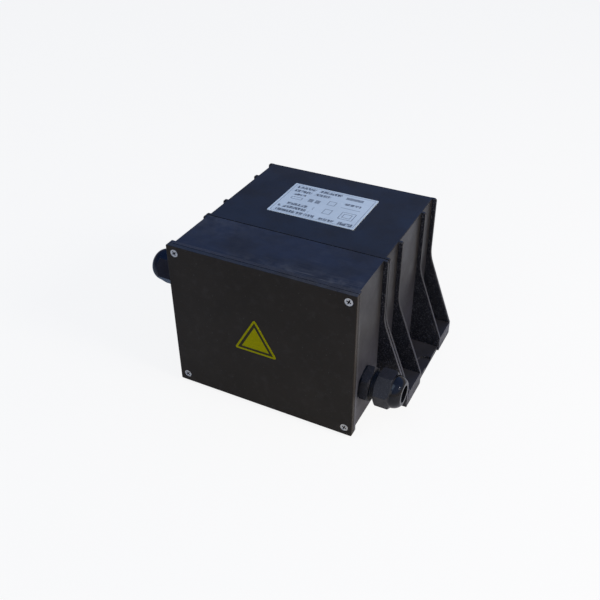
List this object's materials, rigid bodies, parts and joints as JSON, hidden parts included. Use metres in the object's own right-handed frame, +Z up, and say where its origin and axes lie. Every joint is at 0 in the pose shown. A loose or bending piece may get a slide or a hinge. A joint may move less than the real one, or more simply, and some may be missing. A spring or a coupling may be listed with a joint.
{
  "type": "encapsulated safety transformer",
  "caption": "Potted low-voltage transformer in a ribbed moulded case with flared feet, a front terminal box, a screwed cover and two cable glands.",
  "frame": {"origin": "centre of the whole part's footprint on the plane that its feet rest on", "axes": "+Z up, +X to the right seen from the cover, +Y from the cover towards the rear"},
  "size_m": [0.2224, 0.1688, 0.1369],
  "materials": {
    "case_plastic": "fine moulded texture, dark grey-black",
    "cover_plastic": "satin dark brown-black",
    "gland_plastic": "glossy black polyamide",
    "seal_rubber": "matt black",
    "zinc_screw": "zinc plated",
    "plate_metal": "satin, pale blue-silver",
    "decal_yellow": "printed film, yellow with a dark line",
    "core_steel": "varnished laminations",
    "bobbin_plastic": "glass-filled, cream",
    "copper": "enamelled copper wire",
    "tape": "polyester tape",
    "resin": "cast resin",
    "terminal_plastic": "light grey polyamide",
    "brass_part": "bright brass",
    "lead_black": "insulated lead",
    "cutout_case": "moulded case"
  },
  "bodies": {
    "root": {"bobbin": "bobbin_plastic", "box_screws": "zinc_screw", "core_bolts": "zinc_screw", "cover_decal": "decal_yellow", "cover_gasket": "seal_rubber", "cover_screws": "zinc_screw", "front_cover": "cover_plastic", "laminated_core": "core_steel", "left_gland_body": "gland_plastic", "left_gland_locknut": "gland_plastic", "left_gland_nut": "gland_plastic", "left_gland_seal": "seal_rubber", "left_gland_washer": "seal_rubber", "main_case": "case_plastic", "potting_resin": "resin", "primary_leads": "lead_black", "primary_terminal_block": "terminal_plastic", "primary_terminal_clamps": "brass_part", "primary_terminal_screws": "zinc_screw", "primary_winding": "copper", "right_gland_body": "gland_plastic", "right_gland_locknut": "gland_plastic", "right_gland_nut": "gland_plastic", "right_gland_seal": "seal_rubber", "right_gland_washer": "seal_rubber", "seam_gasket": "seal_rubber", "secondary_leads": "lead_black", "secondary_terminal_block": "terminal_plastic", "secondary_terminal_clamps": "brass_part", "secondary_terminal_screws": "zinc_screw", "secondary_winding": "copper", "terminal_block_screws": "zinc_screw", "terminal_box": "case_plastic", "thermal_cutout": "cutout_case", "top_plate": "plate_metal", "winding_tape": "tape"}
  },
  "joints": []
}
